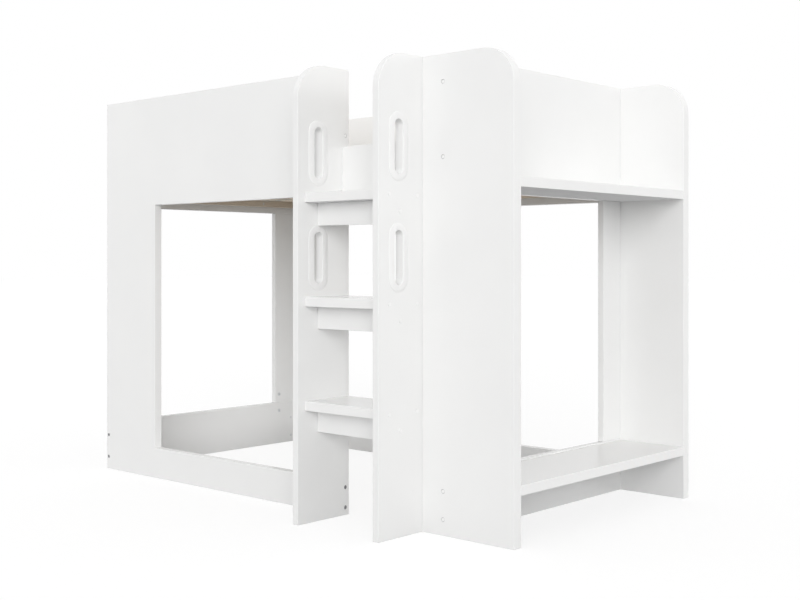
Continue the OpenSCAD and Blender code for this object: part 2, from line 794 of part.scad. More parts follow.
// ---- Hand-hold trim
// Half of the moulded trim: a flange on the board's face and a sleeve that meets the other half
module trim_profile() {
    r = hold_w / 2;
    crown = (flange_w - lip_r) * 0.75;
    polygon(concat([
        [r, fit / 2 - board_t / 2],
        [r + sleeve_t, fit / 2 - board_t / 2],
        [r + sleeve_t, 0],
        [r + flange_w, 0],
        [r + flange_w, flange_h * 0.25],
        [r + flange_w - crown * 0.07, flange_h * 0.5],
        [r + flange_w - crown * 0.23, flange_h * 0.68],
        [r + flange_w - crown * 0.45, flange_h * 0.84],
        [r + flange_w - crown * 0.73, flange_h * 0.95],
        [r + flange_w - crown, flange_h]],
        [for (a = [90 : 15 : 180]) [r + lip_r + lip_r * cos(a), flange_h - lip_r + lip_r * sin(a)]]));
}

// The profile carried round the slot: a half turn at each end and a straight run down each side
module hold_trim(x, z, way) {
    run = hold_l - hold_w;
    color(white_plastic) translate([x, y_hold, z]) rotate(aim(way)) union() {
        for (s = [0, 1]) rotate([0, 0, 180 * s]) {
            translate([run / 2, 0, 0]) rotate([0, 0, -90]) rotate_extrude(angle = 180) trim_profile();
            translate([-run / 2, 0, 0]) rotate([90, 0, 90]) linear_extrude(run) trim_profile();
        }
    }
}

module hold_trim_left_lower_outer() { hold_trim(x_side_l, hold_z, left); }
module hold_trim_left_lower_inner() { hold_trim(x_gap_l, hold_z, right); }
module hold_trim_left_upper_outer() { hold_trim(x_side_l, hold_z + hold_pitch, left); }
module hold_trim_left_upper_inner() { hold_trim(x_gap_l, hold_z + hold_pitch, right); }
module hold_trim_right_lower_outer() { hold_trim(x_side_r, hold_z, right); }
module hold_trim_right_lower_inner() { hold_trim(x_gap_r, hold_z, left); }
module hold_trim_right_upper_outer() { hold_trim(x_side_r, hold_z + hold_pitch, right); }
module hold_trim_right_upper_inner() { hold_trim(x_gap_r, hold_z + hold_pitch, left); }

// ---- Mattress base
// Long batten, cut back at its right end to clear the thicker side of the shelf unit
module long_batten(y, y_cut) {
    difference() {
        translate([x_in_left, y, z_batten]) cube([well_l, batten_t, batten_h]);
        translate([x_side_r, y_cut, z_batten - 1]) cube([side_w, side_t, batten_h + 2]);
    }
}

module batten_front() {
    color(pine) difference() {
        long_batten(y_in_front, y_side_front - side_t);
        front_batten_screws(bore = true);
        end_slat_screws(bore = true);
    }
}

module batten_rear() {
    color(pine) difference() {
        long_batten(y_in_back - batten_t, y_side_back);
        rear_batten_screws(bore = true);
        end_slat_screws(bore = true);
    }
}

module end_batten(x) {
    translate([x, y_in_front + batten_t, z_batten]) cube([batten_t, well_w - 2 * batten_t, batten_h]);
}

module batten_left() {
    color(pine) difference() {
        end_batten(x_in_left);
        left_batten_screws(bore = true);
    }
}

module batten_right() {
    color(pine) difference() {
        end_batten(x_in_right - batten_t);
        right_batten_screws(bore = true);
    }
}

module slats() {
    color(pine) difference() {
        for (i = [0 : slat_count - 1])
            translate([slat_x(i), y_slat_0, z_slat]) cube([slat_w, y_slat_1 - y_slat_0, slat_t]);
        end_slat_screws(bore = true);
    }
}

// Strap under the slats, from one end batten to the other
module slat_strap(y) {
    inset = batten_t + strap_end;
    color(webbing) translate([x_in_left + inset, y - strap_w / 2, z_slat - strap_t])
        cube([well_l - 2 * inset, strap_w, strap_t]);
}

module slat_strap_front() { slat_strap(y_slat_0 + strap_in); }
module slat_strap_rear() { slat_strap(y_slat_1 - strap_in); }

// ---- Fittings
module connector_bolts() { color(zinc) for (b = all_bolts) bolt(b); }
module barrel_nuts() { color(zinc) for (b = all_bolts) barrel_nut(b); }

module cam_locks() {
    color(zinc) {
        for (c = double_cams) for (s = [-1, 1]) cam_lock(c[0] + c[1] * s * cam_in, c[1] * -s, c[2], c[3]);
        for (c = single_cams) cam_lock(c[0] + c[1] * cam_in, -c[1], c[2], c[3]);
    }
}

module cam_bolts() {
    color(zinc) for (c = double_cams) {
        at(c[0], c[1]) cam_tip(cam_in);
        at(c[0], -c[1]) cam_tip(cam_in);
    }
}

module cam_studs() {
    color(zinc) for (c = single_cams) {
        at(c[0], c[1]) cam_tip(cam_in);
        at(c[0], -c[1]) cylinder(h = stud_in, d = cam_bolt_d);
    }
}

module dowels() { color(beech) for (w = all_dowels) dowel(w); }

module tread_screws() {
    color(zinc) for (s = concat(screws_left, screws_right))
        screw(s[0], s[1], tread_screw_l, tread_screw_d, tread_head_d);
}

module tread_screw_caps() {
    color(white_plastic) for (s = concat(screws_left, screws_right))
        at(s[0] - s[1] * cap_proud, s[1]) cylinder(h = cap_t, d = cap_d);
}

module batten_screws() {
    color(zinc) {
        front_batten_screws();
        rear_batten_screws();
        left_batten_screws();
        right_batten_screws();
    }
}

module slat_screws() { color(zinc) end_slat_screws(); }

front_panel();
back_panel();
access_rail();
ladder_side_left();
ladder_side_right();
tread_lower();
tread_middle();
tread_upper();
riser_lower();
riser_middle();
riser_upper();
shelf_side_front();
shelf_side_rear();
shelf_lower();
shelf_upper();
left_end_guard();
left_end_rail();
left_end_post_front();
left_end_post_rear();
right_end_guard();
right_end_rail();
right_end_post_front();
right_end_post_rear();
hold_trim_left_lower_outer();
hold_trim_left_lower_inner();
hold_trim_left_upper_outer();
hold_trim_left_upper_inner();
hold_trim_right_lower_outer();
hold_trim_right_lower_inner();
hold_trim_right_upper_outer();
hold_trim_right_upper_inner();
batten_front();
batten_rear();
batten_left();
batten_right();
slats();
slat_strap_front();
slat_strap_rear();
connector_bolts();
barrel_nuts();
cam_locks();
cam_bolts();
cam_studs();
dowels();
tread_screws();
tread_screw_caps();
batten_screws();
slat_screws();
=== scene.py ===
# %% [markdown]
# # A raised child's bed of white boards
# The bed is flat-pack furniture. Straight boards with slightly rounded edges are bolted into a
# box round a slatted base, with a ladder at the front and shelves across one end.
# The CAD model holds every board and fitting at its true size. Here each board is built again
# with rounded edges, and every surface gets the finish of the real material.
#
# The first cell loads that model. Its box is kept, so that the looks can be measured against it.

import math

import bpy
import numpy as np
from mathutils.geometry import tessellate_polygon
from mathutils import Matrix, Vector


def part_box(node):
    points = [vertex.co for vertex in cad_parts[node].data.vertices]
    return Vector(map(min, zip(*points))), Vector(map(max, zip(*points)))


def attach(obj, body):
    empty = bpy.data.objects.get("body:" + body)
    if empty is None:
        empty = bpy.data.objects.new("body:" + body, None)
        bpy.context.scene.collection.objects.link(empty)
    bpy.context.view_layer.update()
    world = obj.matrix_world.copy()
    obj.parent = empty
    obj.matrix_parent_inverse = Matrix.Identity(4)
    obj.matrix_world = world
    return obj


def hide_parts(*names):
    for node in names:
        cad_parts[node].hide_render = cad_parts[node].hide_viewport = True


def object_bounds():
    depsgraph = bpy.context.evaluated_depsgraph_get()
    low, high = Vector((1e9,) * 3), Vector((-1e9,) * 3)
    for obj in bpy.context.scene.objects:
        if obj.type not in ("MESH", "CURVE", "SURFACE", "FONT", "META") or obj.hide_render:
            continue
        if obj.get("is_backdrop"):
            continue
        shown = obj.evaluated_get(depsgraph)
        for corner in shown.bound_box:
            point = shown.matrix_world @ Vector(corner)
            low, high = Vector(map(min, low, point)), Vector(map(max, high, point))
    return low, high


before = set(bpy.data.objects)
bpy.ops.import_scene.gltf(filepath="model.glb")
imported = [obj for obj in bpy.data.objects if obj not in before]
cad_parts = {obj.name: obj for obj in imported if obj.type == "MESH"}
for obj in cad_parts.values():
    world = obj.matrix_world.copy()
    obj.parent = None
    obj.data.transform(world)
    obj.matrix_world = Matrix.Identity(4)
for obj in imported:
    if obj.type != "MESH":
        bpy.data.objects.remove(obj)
cad_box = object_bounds()
scene = bpy.context.scene
print("CAD nodes:", len(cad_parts), "and CAD box:", [tuple(round(v, 4) for v in c) for c in cad_box])

# %% [markdown]
# ## The camera
# The photo shows the bed from its right front corner. The camera was level, and a little above
# half the bed's height. A level camera keeps all upright edges upright. The frame was then
# cropped, which the lens shift repeats. Place, turn and focal length were fitted to the board
# edges in the photo.

# %% Camera at the photograph's angle
PHOTO_WIDTH, PHOTO_HEIGHT = 800, 600
FOCAL_PX = 1179.88
AXIS_X, AXIS_Y = 445.1, 260.99
SENSOR_MM = 36.0
CAMERA_PLACE = (2.85675, -2.85488, 0.76617)
CAMERA_TURN = 40.913

camera = bpy.data.objects.new("camera", bpy.data.cameras.new("camera"))
camera.location = CAMERA_PLACE
camera.rotation_euler = (math.radians(90), 0, math.radians(CAMERA_TURN))
camera.data.sensor_width = SENSOR_MM
camera.data.lens = FOCAL_PX / PHOTO_WIDTH * SENSOR_MM
camera.data.shift_x = (PHOTO_WIDTH / 2 - AXIS_X) / PHOTO_WIDTH
camera.data.shift_y = (AXIS_Y - PHOTO_HEIGHT / 2) / PHOTO_WIDTH
camera.data.clip_end = 100
scene.collection.objects.link(camera)
bpy.context.scene.camera = camera
shift = (round(camera.data.shift_x, 4), round(camera.data.shift_y, 4))
print("lens:", round(camera.data.lens, 2), "mm and shift:", shift)

# %% [markdown]
# ## Materials
# A finish is built from shader nodes. A small helper makes the nodes and links them, so that each
# finish below reads as a short list of what it does. Patterns use Object coordinates or an
# attribute of the piece, never the camera.

# %% A helper for node materials


class Finish:
    """A material under construction: a Principled shader and the nodes that feed it."""

    def __init__(self, name, roughness, **sockets):
        self.material = bpy.data.materials.new(name)
        self.material.use_nodes = True
        self.tree = self.material.node_tree
        self.shader = self.tree.nodes["Principled BSDF"]
        self.shader.inputs["Roughness"].default_value = roughness
        for socket, value in sockets.items():
            self.shader.inputs[socket.replace("_", " ")].default_value = value

    def node(self, kind, settings=None, **inputs):
        """Adds a node. Inputs are values, or sockets to link.

        Underscores in their names stand for spaces, and i0, i1, ... are inputs by number.
        """
        made = self.tree.nodes.new("ShaderNode" + kind)
        for key, value in (settings or {}).items():
            setattr(made, key, value)
        for key, value in inputs.items():
            numbered = key[0] == "i" and key[1:].isdigit()
            socket = made.inputs[int(key[1:]) if numbered else key.replace("_", " ")]
            if isinstance(value, bpy.types.NodeSocket):
                self.tree.links.new(value, socket)
            else:
                socket.default_value = value
        return made

    def link(self, output, socket):
        """Feeds a socket of the Principled shader."""
        self.tree.links.new(output, self.shader.inputs[socket])

    def place(self):
        """Object coordinates, in metres."""
        return self.node("TexCoord").outputs["Object"]

    def noise(self, vector, scale, detail=2.0, roughness=0.5):
        """A noise pattern from 0 to 1, with scale features per metre."""
        made = self.node("TexNoise", Vector=vector, Scale=scale, Detail=detail, Roughness=roughness)
        return made.outputs["Fac"]

    def between(self, factor, low, high):
        """Turns a factor into a number between low and high."""
        return self.node("MapRange", Value=factor, To_Min=low, To_Max=high).outputs["Result"]

    def calc(self, operation, *values, clamp=False):
        """A Math node, with its inputs in order."""
        inputs = {f"i{n}": value for n, value in enumerate(values)}
        return self.node("Math", {"operation": operation, "use_clamp": clamp}, **inputs).outputs["Value"]

    def vector(self, operation, *values):
        """A Vector Math node, with its inputs in order."""
        inputs = {f"i{n}": value for n, value in enumerate(values)}
        made = self.node("VectorMath", {"operation": operation}, **inputs)
        return made.outputs["Value" if operation == "LENGTH" else "Vector"]

    def wave(self, value, per_unit):
        """A sine of value, from 0 to 1, with per_unit waves in each unit."""
        sine = self.calc("SINE", self.calc("MULTIPLY", value, per_unit * 2 * math.pi))
        return self.node("MapRange", Value=sine, From_Min=-1.0, From_Max=1.0).outputs["Result"]

    def two_tones(self, factor, stops):
        """Turns a factor into a colour between two (place, colour) stops."""
        made = self.node("ValToRGB", Fac=factor)
        for number, (place, colour) in enumerate(stops):
            stop = made.color_ramp.elements[number]
            stop.position, stop.color = place, (*colour, 1.0)
        return made.outputs["Color"]

    def bump(self, height, distance, strength=1.0, normal=None):
        """Raises the surface by height times distance metres."""
        made = self.node("Bump", Height=height, Distance=distance, Strength=strength)
        if normal is not None:
            self.tree.links.new(normal, made.inputs["Normal"])
        return made.outputs["Normal"]


print("the helper has", len([m for m in dir(Finish) if m[0] != "_"]), "methods")

# %% [markdown]
# ### White board
# The boards are chipboard with a white melamine skin. It is nearly flat, with a fine pressed
# texture and a very slow waviness that breaks up reflections. The tone drifts by about one
# percent over a board. The cut edges carry a plastic band of the same white, a little duller.
# The undersides of shelves and treads have a plain backing foil instead, which only keeps the board from
# warping. It is matt, so it looks dark where the skin would shine, and its colour is a trace greyer:
# painted shade on the undersides.

# %% White board and its edge band
WHITE = (0.868, 0.868, 0.862)
WHITE_LOW = (0.853, 0.853, 0.848)
# The foil's greyer tone is painted shade for the undersides of lying boards.
PAINTED_SHADE_FOIL = (0.805, 0.808, 0.812)
PAINTED_SHADE_FOIL_LOW = (0.788, 0.791, 0.796)
PLASTIC_IOR = 1.5
TONES_PER_M = 3.5
WAVES_PER_M = 14.0
TEXTURE_PER_M = 1400.0
TEXTURE_STRENGTH = 0.6
ROUGHNESS_SPREAD = 0.05


def white_finish(name, roughness, texture, waviness, light=WHITE, dark=WHITE_LOW):
    """White sheet: two tones mixed by slow noise, a fine texture and a slow wave as bumps.

    Texture and waviness are heights in metres.
    """
    finish = Finish(name, roughness, IOR=PLASTIC_IOR)
    place = finish.place()
    tone = finish.noise(place, TONES_PER_M, detail=3.0)
    finish.link(finish.two_tones(tone, [(0.35, dark), (0.65, light)]), "Base Color")
    pressed = finish.noise(place, TEXTURE_PER_M, detail=1.0)
    rough = finish.between(pressed, roughness - ROUGHNESS_SPREAD, roughness + ROUGHNESS_SPREAD)
    finish.link(rough, "Roughness")
    waved = finish.bump(finish.noise(place, WAVES_PER_M, detail=1.0), waviness)
    finish.link(finish.bump(pressed, texture, TEXTURE_STRENGTH, waved), "Normal")
    return finish.material


board_skin = white_finish("white_board_skin", roughness=0.15, texture=6e-6, waviness=4e-5)
edge_band = white_finish("white_edge_band", roughness=0.20, texture=6e-6, waviness=0.0)
underside_foil_painted_shade = white_finish("backing_foil_painted_shade", 0.75, 1.2e-5, 4e-5, light=PAINTED_SHADE_FOIL, dark=PAINTED_SHADE_FOIL_LOW)
print("white finishes:", board_skin.name, edge_band.name, underside_foil_painted_shade.name)

# %% [markdown]
# ### Moulded plastic
# The rings round the hand-holds and the caps over the screws are injection moulded. The mould's
# fine spark texture makes them satin.

# %% White plastic
PLASTIC = (0.872, 0.872, 0.868)
PLASTIC_LOW = (0.862, 0.862, 0.858)
FLOW_PER_M = 60.0
SPARK_PER_M = 2600.0
SPARK_HEIGHT = 2e-5

plastic = Finish("white_moulded_plastic", 0.36, IOR=PLASTIC_IOR)
spark = plastic.noise(plastic.place(), SPARK_PER_M, detail=1.0)
flow = plastic.noise(plastic.place(), FLOW_PER_M)
plastic.link(plastic.two_tones(flow, [(0.3, PLASTIC_LOW), (0.7, PLASTIC)]), "Base Color")
plastic.link(plastic.between(spark, 0.30, 0.42), "Roughness")
plastic.link(plastic.bump(spark, SPARK_HEIGHT, 0.5), "Normal")
print("plastic finish:", plastic.material.name)

# %% [markdown]
# ### Planed wood
# The battens and slats are planed softwood. A plank shows yearly rings cut lengthwise: long bands
# of pale early wood and darker late wood, with fine fibres along them. The pattern reads an
# attribute called grain, which holds the distance along, across and through each plank, with its
# own start for every plank, so that no two planks look alike.

# %% Softwood
WANDER_PER_M = (1.1, 9.0, 9.0)
WANDER = 0.06
LATE_WOOD_POWER = 2.4
FIBRES_PER_M = (14.0, 900.0, 900.0)
FIBRE_TONE = 0.28
FIBRE_HEIGHT = 0.00012


def wood_finish(name, early, late, rings_per_m, roughness):
    """Rings are a sine of the distance from a wandering heart line, and fibres are stretched noise."""
    finish = Finish(name, roughness)
    grain = finish.node("Attribute", {"attribute_name": "grain"}).outputs["Vector"]
    slow = finish.node("Mapping", Vector=grain, Scale=WANDER_PER_M).outputs["Vector"]
    noise = finish.node("TexNoise", Vector=slow, Scale=1.0, Detail=2.0).outputs["Color"]
    either_way = finish.vector("SUBTRACT", noise, (0.5, 0.5, 0.5))
    wander = finish.vector("MULTIPLY", either_way, (0.0, WANDER, WANDER))
    across = finish.vector("MULTIPLY", finish.vector("ADD", grain, wander), (0.0, 1.0, 1.0))
    ring = finish.wave(finish.vector("LENGTH", across), rings_per_m)
    late_wood = finish.calc("POWER", ring, LATE_WOOD_POWER)
    stretched = finish.node("Mapping", Vector=grain, Scale=FIBRES_PER_M).outputs["Vector"]
    fibre = finish.noise(stretched, 1.0, detail=3.0, roughness=0.6)
    tone = finish.calc("MULTIPLY_ADD", fibre, FIBRE_TONE, -FIBRE_TONE / 2)
    mixed = finish.calc("ADD", late_wood, tone, clamp=True)
    finish.link(finish.two_tones(mixed, [(0.0, early), (1.0, late)]), "Base Color")
    finish.link(finish.between(fibre, roughness - 0.1, roughness + 0.1), "Roughness")
    finish.link(finish.bump(fibre, FIBRE_HEIGHT, 0.7), "Normal")
    return finish.material


pine = wood_finish("planed_pine", (0.74, 0.65, 0.54), (0.60, 0.50, 0.39), 210.0, 0.55)
beech = wood_finish("turned_beech", (0.62, 0.46, 0.31), (0.52, 0.36, 0.23), 400.0, 0.6)
print("wood finishes:", pine.name, beech.name)

# %% [markdown]
# ### Metal and webbing
# The fittings are zinc plated, which is a dull bluish metal with small bright and dark patches.
# The bolt heads that lie open are a darker zinc: painted shade, as dark as their sunk heads look.
# The straps under the slats are woven tape, in which threads along and across make a fine grid.

# %% Zinc plating and woven tape
PATCHES_PER_M = 420.0
GRIT_PER_M = 1800.0
GRIT_HEIGHT = 1e-5
WARP_PER_M, WEFT_PER_M = 900.0, 700.0
THREAD_HEIGHT = 0.0004


def plated_finish(name, dark, light):
    """Plating: two metal tones in small patches, which also change how rough it is, and a fine bump."""
    finish = Finish(name, 0.38, Metallic=1.0)
    patch = finish.noise(finish.place(), PATCHES_PER_M)
    grit = finish.noise(finish.place(), GRIT_PER_M)
    finish.link(finish.two_tones(patch, [(0.3, dark), (0.7, light)]), "Base Color")
    finish.link(finish.between(patch, 0.30, 0.46), "Roughness")
    finish.link(finish.bump(grit, GRIT_HEIGHT, 0.5), "Normal")
    return finish.material


zinc = plated_finish("zinc_plating", (0.66, 0.67, 0.69), (0.78, 0.79, 0.80))
# A darker zinc, which is painted shade for the open bolt heads.
painted_shade_zinc = plated_finish("zinc_plating_painted_shade", (0.22, 0.22, 0.23), (0.34, 0.34, 0.35))

tape = Finish("woven_tape", 0.85)
weave = tape.node("SeparateXYZ", Vector=tape.node("UVMap", {"uv_map": "weave"}).outputs["UV"])
warp = tape.wave(weave.outputs["X"], WARP_PER_M)
weft = tape.wave(weave.outputs["Y"], WEFT_PER_M)
threads = tape.calc("MULTIPLY", warp, weft)
tape.link(tape.two_tones(threads, [(0.0, (0.62, 0.60, 0.54)), (0.6, (0.80, 0.78, 0.72))]), "Base Color")
tape.link(tape.bump(threads, THREAD_HEIGHT, 0.8), "Normal")
print("other finishes:", zinc.name, painted_shade_zinc.name, tape.material.name)

# %% [markdown]
# ## How a board is made
# A board is an outline with a thickness. Its long edges are not sharp: the band is trimmed to a
# small quarter round. Blender's Bevel could round a box, but the bores for the fittings sit close
# together and would stop it. So the board is computed instead: the outline is walked round with a
# small profile, and the two faces are filled with triangles between the outline and the holes.

# %% Outlines and profiles
SMALL_ROUND = 0.01
STEPS_SMALL, STEPS_LARGE = 3, 28


def arc_corner(corner, before, after, radius):
    """Points of a quarter round that replaces a square corner.

    The unit vectors p and n point from the corner to its neighbours. The round's centre is
    corner + radius (p + n), and its points are centre - radius (n cos t + p sin t), with t from
    0 to a quarter turn.
    """
    p = (before - corner) / np.linalg.norm(before - corner)
    n = (after - corner) / np.linalg.norm(after - corner)
    steps = STEPS_SMALL if radius < SMALL_ROUND else STEPS_LARGE
    t = np.linspace(0, math.pi / 2, steps + 1)[:, None]
    return corner + radius * (p + n) - radius * (n * np.cos(t) + p * np.sin(t))


def outline(corners, radii):
    """A closed loop through square corners, each rounded by its own radius."""
    corners = np.array(corners, float)
    before, after = np.roll(corners, 1, 0), np.roll(corners, -1, 0)
    return np.concatenate([arc_corner(*four) for four in zip(corners, before, after, radii)])


def ring(centre, radius, run=0.0, steps=32):
    """A loop round a hole, clockwise: a circle whose halves stand run apart along the second axis."""
    t = np.linspace(0, 2 * math.pi, steps, endpoint=False)
    loop = np.column_stack((np.cos(t), -np.sin(t))) * radius
    loop[:, 1] += np.where(loop[:, 1] >= -1e-9, run / 2, -run / 2)
    return loop + centre


def inwards(loop):
    """The mitre vector at each point of a loop.

    It is the sum of the left normals of the two sides over one plus their dot product.
    """
    side = np.roll(loop, -1, 0) - loop
    side /= np.linalg.norm(side, axis=1, keepdims=True)
    left = np.column_stack((-side[:, 1], side[:, 0]))
    last = np.roll(left, 1, 0)
    return (left + last) / (1 + (left * last).sum(1, keepdims=True))


def rounded_wall(depth, radius, steps=3):
    """Inset and height of a wall with a quarter round at both faces.

    The inset is radius (1 - sin t) and the height radius (1 - cos t), mirrored at the far face.
    """
    t = np.linspace(0, math.pi / 2, steps + 1)
    inset, height = radius * (1 - np.sin(t)), radius * (1 - np.cos(t))
    return np.append(inset, inset[::-1]), np.append(height, depth - height[::-1])


print("a large round has", STEPS_LARGE + 1, "points and a small one", STEPS_SMALL + 1)

# %% [markdown]
# Carrying a profile round a loop gives a grid of points, one row for each loop point. The faces
# follow from the row numbers alone. A surface collects such strips and fills, and becomes one
# mesh at the end.

# %% A surface that collects strips and fills


class Surface:
    """Points and faces in a board's own axes: two in its plane and the third through it.

    A face's kind is the number of its material.
    """

    def __init__(self):
        self.points, self.faces, self.kinds, self.count = [], [], [], 0

    def add(self, points, faces, kind):
        """Takes points and their faces in, and returns the number of the first point."""
        self.points.append(points)
        self.faces += [(np.asarray(f) + self.count).tolist() for f in faces]
        self.kinds += [kind] * len(faces)
        self.count += len(points)
        return self.count - len(points)

    def strip(self, loop, inset, height, kind, flip=False):
        """Carries a profile round a loop.

        Point (i, j) is loop point i, moved inset[j] along its mitre vector, at height[j]. Returns
        the numbers of the first and last rings of points.
        """
        rows, steps = len(loop), len(inset)
        flat = loop[:, None] + inwards(loop)[:, None] * inset[None, :, None]
        high = np.broadcast_to(np.asarray(height)[None, :, None], (rows, steps, 1))
        i, j = (g.ravel() for g in np.meshgrid(np.arange(rows), np.arange(steps - 1), indexing="ij"))
        a, b = i * steps + j, (i + 1) % rows * steps + j
        quads = np.stack((a, b, b + 1, a + 1), 1)
        points = np.concatenate((flat, high), 2).reshape(-1, 3)
        first = self.add(points, quads[:, ::-1] if flip else quads, kind) + np.arange(rows) * steps
        return first, first + steps - 1

    def fill(self, rings, up, kind):
        """Fills the plane between rings of existing points with triangles that face up or down."""
        everything = np.concatenate(self.points)
        flat = [everything[r] for r in rings]
        names, places = np.concatenate(rings), np.concatenate(flat)[:, :2]
        tri = np.array(tessellate_polygon([f.tolist() for f in flat]))
        one, two = places[tri[:, 1]] - places[tri[:, 0]], places[tri[:, 2]] - places[tri[:, 0]]
        area = one[:, 0] * two[:, 1] - one[:, 1] * two[:, 0]
        tri = np.where(((area < 0) == up)[:, None], tri[:, ::-1], tri)[np.abs(area) > 1e-14]
        self.faces += names[tri].tolist()
        self.kinds += [kind] * len(tri)

    def cap(self, ring_names, kind):
        """Closes a ring with one flat face."""
        self.faces.append(ring_names.tolist())
        self.kinds.append(kind)


print("a surface can", ", ".join(m for m in dir(Surface) if m[0] != "_"))

# %% [markdown]
# A finished mesh goes into an object at the origin, with its place in its points. The long side of
# a profile and the faces should stay flat to the eye while the small rounds look smooth. The
# Weighted Normal modifier does that: large faces decide the direction of the light, and the rounds
# blend between them.

# %% From points to a piece of the bed
SHARP_FROM = 42


def piece(name, points, faces, materials, replaces=(), kinds=None, even=True):
    """Makes a mesh object from points in the frame's axes, and lets it ride on the bed."""
    mesh = bpy.data.meshes.new(name)
    mesh.from_pydata(np.asarray(points).tolist(), [], [list(f) for f in faces])
    for material in materials:
        mesh.materials.append(material)
    if kinds is not None:
        mesh.polygons.foreach_set("material_index", np.array(kinds, np.int32))
    mesh.polygons.foreach_set("use_smooth", np.full(len(mesh.polygons), True))
    mesh.update()
    mesh.set_sharp_from_angle(angle=math.radians(SHARP_FROM))
    made = bpy.data.objects.new(name, mesh)
    scene.collection.objects.link(made)
    if even:
        normals = made.modifiers.new("even_light", "WEIGHTED_NORMAL")
        normals.keep_sharp = True
    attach(made, "root")
    if replaces:
        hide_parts(*replaces)
    return made


def upright(points, thin):
    """Turns a board's own axes into the frame's: the third axis becomes the thin one."""
    turned = np.empty_like(points)
    turned[:, (thin + 1) % 3], turned[:, (thin + 2) % 3], turned[:, thin] = points.T
    return turned


# %% [markdown]
# ## Where the fittings show
# Bolt heads, barrel nuts, cam locks and caps sit in bores in the boards' faces. Each fitting is a
# separate solid in the CAD model, so its box tells where its bore has to be. A solid is found by
# letting all triangles that share a corner take the same number.

# %% Find every fitting
SAME_PLACE = 1e-5


def solids_of(node):
    """Lowest and highest corner of each separate solid of a CAD node.

    Every point starts with its own number, and takes the lowest one in its triangles, until
    nothing changes.
    """
    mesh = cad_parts[node].data
    place = np.empty(len(mesh.vertices) * 3, np.float32)
    mesh.vertices.foreach_get("co", place)
    corner = np.empty(len(mesh.loops), np.int32)
    mesh.loops.foreach_get("vertex_index", corner)
    place = place.reshape(-1, 3)
    cell = np.round(place / SAME_PLACE).astype(np.int64)
    where = np.unique(cell, axis=0, return_inverse=True)[1].ravel()
    triangle = where[corner].reshape(-1, 3)
    number = np.arange(where.max() + 1)
    while True:
        lower = number.copy()
        np.minimum.at(lower, triangle.ravel(), np.repeat(number[triangle].min(1), 3))
        lower = lower[lower]
        if (lower == number).all():
            break
        number = lower
    number = number[where]
    return [(place[number == n].min(0), place[number == n].max(0)) for n in np.unique(number)]


SHOWN_FITTINGS = ("connector_bolts", "barrel_nuts", "cam_locks", "tread_screw_caps")
fittings = [solid for node in SHOWN_FITTINGS for solid in solids_of(node)]
print("fittings that show in a face:", len(fittings))

# %% [markdown]
# ## The white boards
# Every board's box comes from the CAD node, and its thin axis is the shortest side of that box.
# A bore is cut wherever a fitting's end lies at one of the two faces. The bore is blind, with a
# tiny broken edge.

# %% Build one board
ARRIS = 0.0011
CORNER = 0.0016
BORE_CLEARANCE = 0.00015
BORE_DEPTH = 0.005
BORE_EXTRA = 0.0001
BORE_BREAK = 0.00025
AT_FACE = 0.0016
EDGE_MARGIN = 0.004
FACE, EDGE, UNDERSIDE = 0, 1, 2


def bores_in(low, high, thin, side):
    """Centre, radius and depth of each bore in the lower (side 0) or upper (side 1) face."""
    plane = [(thin + 1) % 3, (thin + 2) % 3]
    found = []
    for f_low, f_high in fittings:
        middle = (f_low + f_high) / 2
        end, face = (f_low[thin], low[thin]) if side == 0 else (f_high[thin], high[thin])
        inside = all(low[a] + EDGE_MARGIN < middle[a] < high[a] - EDGE_MARGIN for a in plane)
        if inside and abs(end - face) < AT_FACE:
            reach = f_high[thin] - face if side == 0 else face - f_low[thin]
            radius = max(f_high[a] - f_low[a] for a in plane) / 2 + BORE_CLEARANCE
            found.append((middle[plane], radius, min(BORE_DEPTH, reach + BORE_EXTRA)))
    return found


def board(name, corners=None, radii=None, slots=(), arris=ARRIS, underside=False):
    """A white board for one CAD node: rounded walls, two filled faces and its blind bores.

    Corners are in the board's own plane, which is YZ, ZX or XY for a board that is thin in X, Y
    or Z, and run anticlockwise there. Without corners the board is a plain rectangle. A board
    with an underside has the greyer backing foil on its lower face, whose tone is painted shade.
    """
    low, high = (np.array(c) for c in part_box(name))
    thin = int(np.argmin(high - low))
    a, b = (thin + 1) % 3, (thin + 2) % 3
    if corners is None:
        corners = [(low[a], low[b]), (high[a], low[b]), (high[a], high[b]), (low[a], high[b])]
    radii = [CORNER] * len(corners) if radii is None else radii
    depth = high[thin] - low[thin]
    surface = Surface()
    inset, height = rounded_wall(depth, arris)
    near, far = ([r] for r in surface.strip(outline(corners, radii), inset, height, EDGE))
    for slot in slots:
        first, last = surface.strip(slot, inset, height, EDGE)
        near.append(first)
        far.append(last)
    for side, rings in ((0, near), (1, far)):
        for centre, radius, deep in bores_in(low, high, thin, side):
            broken = min(BORE_BREAK, deep / 3)
            heights = np.array([0.0, broken, deep])
            heights = heights if side == 0 else depth - heights
            inwards_by = np.array([broken, 0, 0])
            mouth, bottom = surface.strip(ring(centre, radius), inwards_by, heights, EDGE, flip=side == 1)
            rings.append(mouth)
            surface.cap(bottom if side == 0 else bottom[::-1], EDGE)
    surface.fill(near, up=False, kind=UNDERSIDE if underside else FACE)
    surface.fill(far, up=True, kind=FACE)
    points = np.concatenate(surface.points)
    points[:, 2] += low[thin]
    # The lower face's foil carries painted shade in its greyer tone.
    finishes = [board_skin, edge_band] + [underside_foil_painted_shade] * underside
    return piece(name + "_board", upright(points, thin), surface.faces, finishes,
                 [name], surface.kinds)


UPRIGHT_STARTS = ("left_end_", "right_end_", "riser_", "access_rail")
LYING_BOARDS = ("shelf_lower", "shelf_upper", "tread_lower", "tread_middle", "tread_upper")
plain = [board(n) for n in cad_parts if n.startswith(UPRIGHT_STARTS)]
lying = [board(n, underside=True) for n in LYING_BOARDS]
print("upright boards:", len(plain), "and lying boards:", len(lying))
print("faces in", plain[0].name + ":", len(plain[0].data.polygons))

